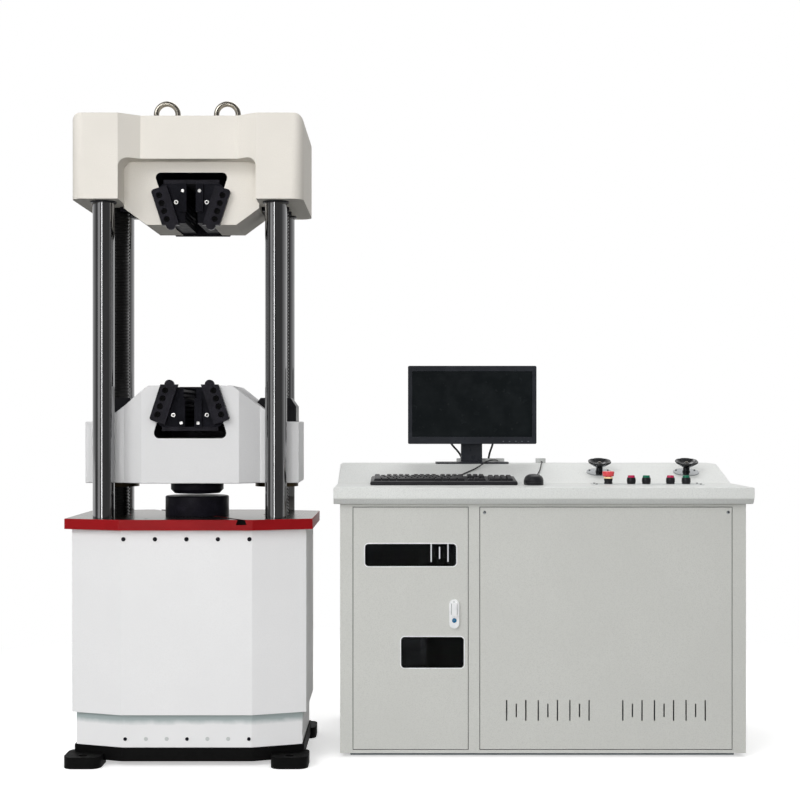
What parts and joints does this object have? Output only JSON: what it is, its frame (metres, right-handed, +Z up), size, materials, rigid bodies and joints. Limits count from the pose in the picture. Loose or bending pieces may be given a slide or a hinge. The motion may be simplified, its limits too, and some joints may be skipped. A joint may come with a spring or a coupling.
{
  "type": "universal testing machine",
  "caption": "Hydraulic universal testing machine: column load frame with wedge grips and compression platens, beside a cabinet console with monitor, keyboard, buttons and valve handwheels.",
  "frame": {"origin": "on the floor under the loading axis, in the middle of the load frame's anchor holes", "axes": "+X right towards the console, +Y to the back, +Z up along the loading axis"},
  "size_m": [2.059, 0.828, 2.004],
  "materials": {
    "cast_black": "rough cast, black",
    "skirt_white": "smooth white paint",
    "table_red": "red paint, ground steel top",
    "column_chrome": "polished",
    "cream_paint": "satin cream paint over casting",
    "casting_white": "satin white paint over casting",
    "steel": "machined",
    "black_oxide": "black oxide, machined",
    "jaw_steel": "black oxide, worn at the teeth",
    "screw_steel": "oiled thread",
    "nut_bronze": "turned bronze",
    "cover_black": "satin black",
    "machine_grey": "grey paint",
    "console_grey": "fine textured powder coat",
    "desk_grey": "granular powder coat",
    "plinth_blue": "blue grey paint",
    "tinted_glass": "tinted",
    "lock_white": "gloss white",
    "panel_grey": "satin plate",
    "collar_black": "satin black",
    "stop_red": "gloss red",
    "start_green": "gloss green",
    "dial_steel": "polished plate",
    "wheel_black": "gloss black",
    "monitor_black": "gloss black",
    "key_black": "satin black",
    "cord_rubber": "matt black sheath"
  },
  "bodies": {
    "stand": {"base_plate": "cast_black", "lower_skirt": "skirt_white", "cylinder_barrel": "machine_grey", "screw_bearings": "black_oxide", "drive_motor": "machine_grey", "drive_chain": "steel", "cabinet_body": "console_grey", "plinth": "plinth_blue", "back_panel": "console_grey", "vent_panel": "console_grey", "desk_top": "desk_grey", "button_plate": "panel_grey", "button_collars": "collar_black", "valve_dials": "dial_steel", "hydraulic_unit": "machine_grey", "computer_tower": "machine_grey", "monitor": "monitor_black", "monitor_stand": "monitor_black", "keyboard": "key_black", "mouse": "key_black", "cord_glands": "cord_rubber", "keyboard_cord": "cord_rubber", "mouse_cord": "cord_rubber", "monitor_power_lead": "cord_rubber", "monitor_signal_lead": "cord_rubber"},
    "ram": {"ram_piston": "steel", "work_table": "table_red", "upper_skirt": "skirt_white", "columns": "column_chrome", "upper_crosshead": "cream_paint", "eye_bolts": "steel", "upper_grip_plates": "black_oxide", "lower_platen": "black_oxide"},
    "crosshead": {"moving_crosshead": "casting_white", "lead_screw_nuts": "nut_bronze", "nut_covers": "cover_black", "lower_grip_plates": "black_oxide", "upper_platen": "black_oxide"},
    "upper_lifter": {"upper_jaw_lifter": "black_oxide"},
    "upper_right_jaw": {"upper_jaw_right": "jaw_steel"},
    "upper_left_jaw": {"upper_jaw_left": "jaw_steel"},
    "lower_lifter": {"lower_jaw_lifter": "black_oxide"},
    "lower_right_jaw": {"lower_jaw_right": "jaw_steel"},
    "lower_left_jaw": {"lower_jaw_left": "jaw_steel"},
    "left_screw": {"lead_screw_left": "screw_steel", "sprocket_left": "steel"},
    "right_screw": {"lead_screw_right": "screw_steel", "sprocket_right": "steel"},
    "motor_wheel": {"motor_sprocket": "steel"},
    "door": {"cabinet_door": "console_grey", "door_windows": "tinted_glass", "lock_body": "lock_white"},
    "lever": {"lock_lever": "lock_white"},
    "stop_head": {"emergency_stop": "stop_red"},
    "pump_stop": {"pump_stop_button": "stop_red"},
    "pump_start": {"pump_start_button": "start_green"},
    "drive_stop": {"drive_stop_button": "stop_red"},
    "drive_start": {"drive_start_button": "start_green"},
    "feed_wheel": {"feed_handwheel": "wheel_black"},
    "return_wheel": {"return_handwheel": "wheel_black"}
  },
  "joints": [
    {"name": "ram_lift", "type": "slide", "parent": "stand", "child": "ram", "axis": [0, 0, 1], "range_m": [-0.09, 0.006]},
    {"name": "left_screw_turn", "type": "hinge", "parent": "stand", "child": "left_screw", "pos_m": [-0.246, 0, 0.4], "axis": [0, 0, 1], "range_deg": [0, 12600]},
    {"name": "right_screw_turn", "type": "hinge", "parent": "stand", "child": "right_screw", "pos_m": [0.246, 0, 0.4], "axis": [0, 0, 1], "range_deg": [0, 12610]},
    {"name": "motor_turn", "type": "hinge", "parent": "stand", "child": "motor_wheel", "pos_m": [0, 0.15, 0.45], "axis": [0, 0, 1], "range_deg": [0, 27482]},
    {"name": "crosshead_travel", "type": "slide", "parent": "stand", "child": "crosshead", "axis": [0, 0, 1], "range_m": [0, 0.3505]},
    {"name": "upper_lifter_travel", "type": "slide", "parent": "ram", "child": "upper_lifter", "axis": [0, 0, 1], "range_m": [-0.02, 0.02]},
    {"name": "upper_right_jaw_travel", "type": "slide", "parent": "ram", "child": "upper_right_jaw", "axis": [0.309, 0, 0.9511], "range_m": [-0.0212, 0.0212]},
    {"name": "upper_left_jaw_travel", "type": "slide", "parent": "ram", "child": "upper_left_jaw", "axis": [-0.309, 0, 0.9511], "range_m": [-0.0212, 0.0212]},
    {"name": "lower_lifter_travel", "type": "slide", "parent": "crosshead", "child": "lower_lifter", "axis": [0, 0, -1], "range_m": [-0.02, 0.02]},
    {"name": "lower_right_jaw_travel", "type": "slide", "parent": "crosshead", "child": "lower_right_jaw", "axis": [0.309, 0, -0.9511], "range_m": [-0.0212, 0.0212]},
    {"name": "lower_left_jaw_travel", "type": "slide", "parent": "crosshead", "child": "lower_left_jaw", "axis": [-0.309, 0, -0.9511], "range_m": [-0.0212, 0.0212]},
    {"name": "door_swing", "type": "hinge", "parent": "stand", "child": "door", "pos_m": [0.49, -0.106, 0.389], "axis": [0, 0, -1], "range_deg": [0, 110]},
    {"name": "lever_lift", "type": "hinge", "parent": "door", "child": "lever", "pos_m": [0.7905, -0.1223, 0.466], "axis": [-1, 0, 0], "range_deg": [0, 60]},
    {"name": "stop_press", "type": "slide", "parent": "stand", "child": "stop_head", "axis": [0, 0, -1], "range_m": [0, 0.005], "stiffness_N_per_m": 1500},
    {"name": "pump_stop_press", "type": "slide", "parent": "stand", "child": "pump_stop", "axis": [0, 0, -1], "range_m": [0, 0.003], "stiffness_N_per_m": 1000},
    {"name": "pump_start_press", "type": "slide", "parent": "stand", "child": "pump_start", "axis": [0, 0, -1], "range_m": [0, 0.003], "stiffness_N_per_m": 1000},
    {"name": "drive_stop_press", "type": "slide", "parent": "stand", "child": "drive_stop", "axis": [0, 0, -1], "range_m": [0, 0.003], "stiffness_N_per_m": 1000},
    {"name": "drive_start_press", "type": "slide", "parent": "stand", "child": "drive_start", "axis": [0, 0, -1], "range_m": [0, 0.003], "stiffness_N_per_m": 1000},
    {"name": "feed_turn", "type": "hinge", "parent": "stand", "child": "feed_wheel", "pos_m": [1.2838, 0.3, 0.845], "axis": [0, -0.2425, 0.9701], "range_deg": [0, 1080]},
    {"name": "return_turn", "type": "hinge", "parent": "stand", "child": "return_wheel", "pos_m": [1.57, 0.3, 0.845], "axis": [0, -0.2425, 0.9701], "range_deg": [0, 1080]}
  ],
  "couplings": [
    {"joint": "crosshead_travel", "follows": "left_screw_turn", "m_per_rad": 0.0015915},
    {"joint": "right_screw_turn", "follows": "left_screw_turn", "ratio": 1},
    {"joint": "motor_turn", "follows": "left_screw_turn", "ratio": 2.1795},
    {"joint": "upper_right_jaw_travel", "follows": "upper_lifter_travel", "ratio": 1.0515},
    {"joint": "upper_left_jaw_travel", "follows": "upper_lifter_travel", "ratio": 1.0515},
    {"joint": "lower_right_jaw_travel", "follows": "lower_lifter_travel", "ratio": 1.0515},
    {"joint": "lower_left_jaw_travel", "follows": "lower_lifter_travel", "ratio": 1.0515}
  ]
}
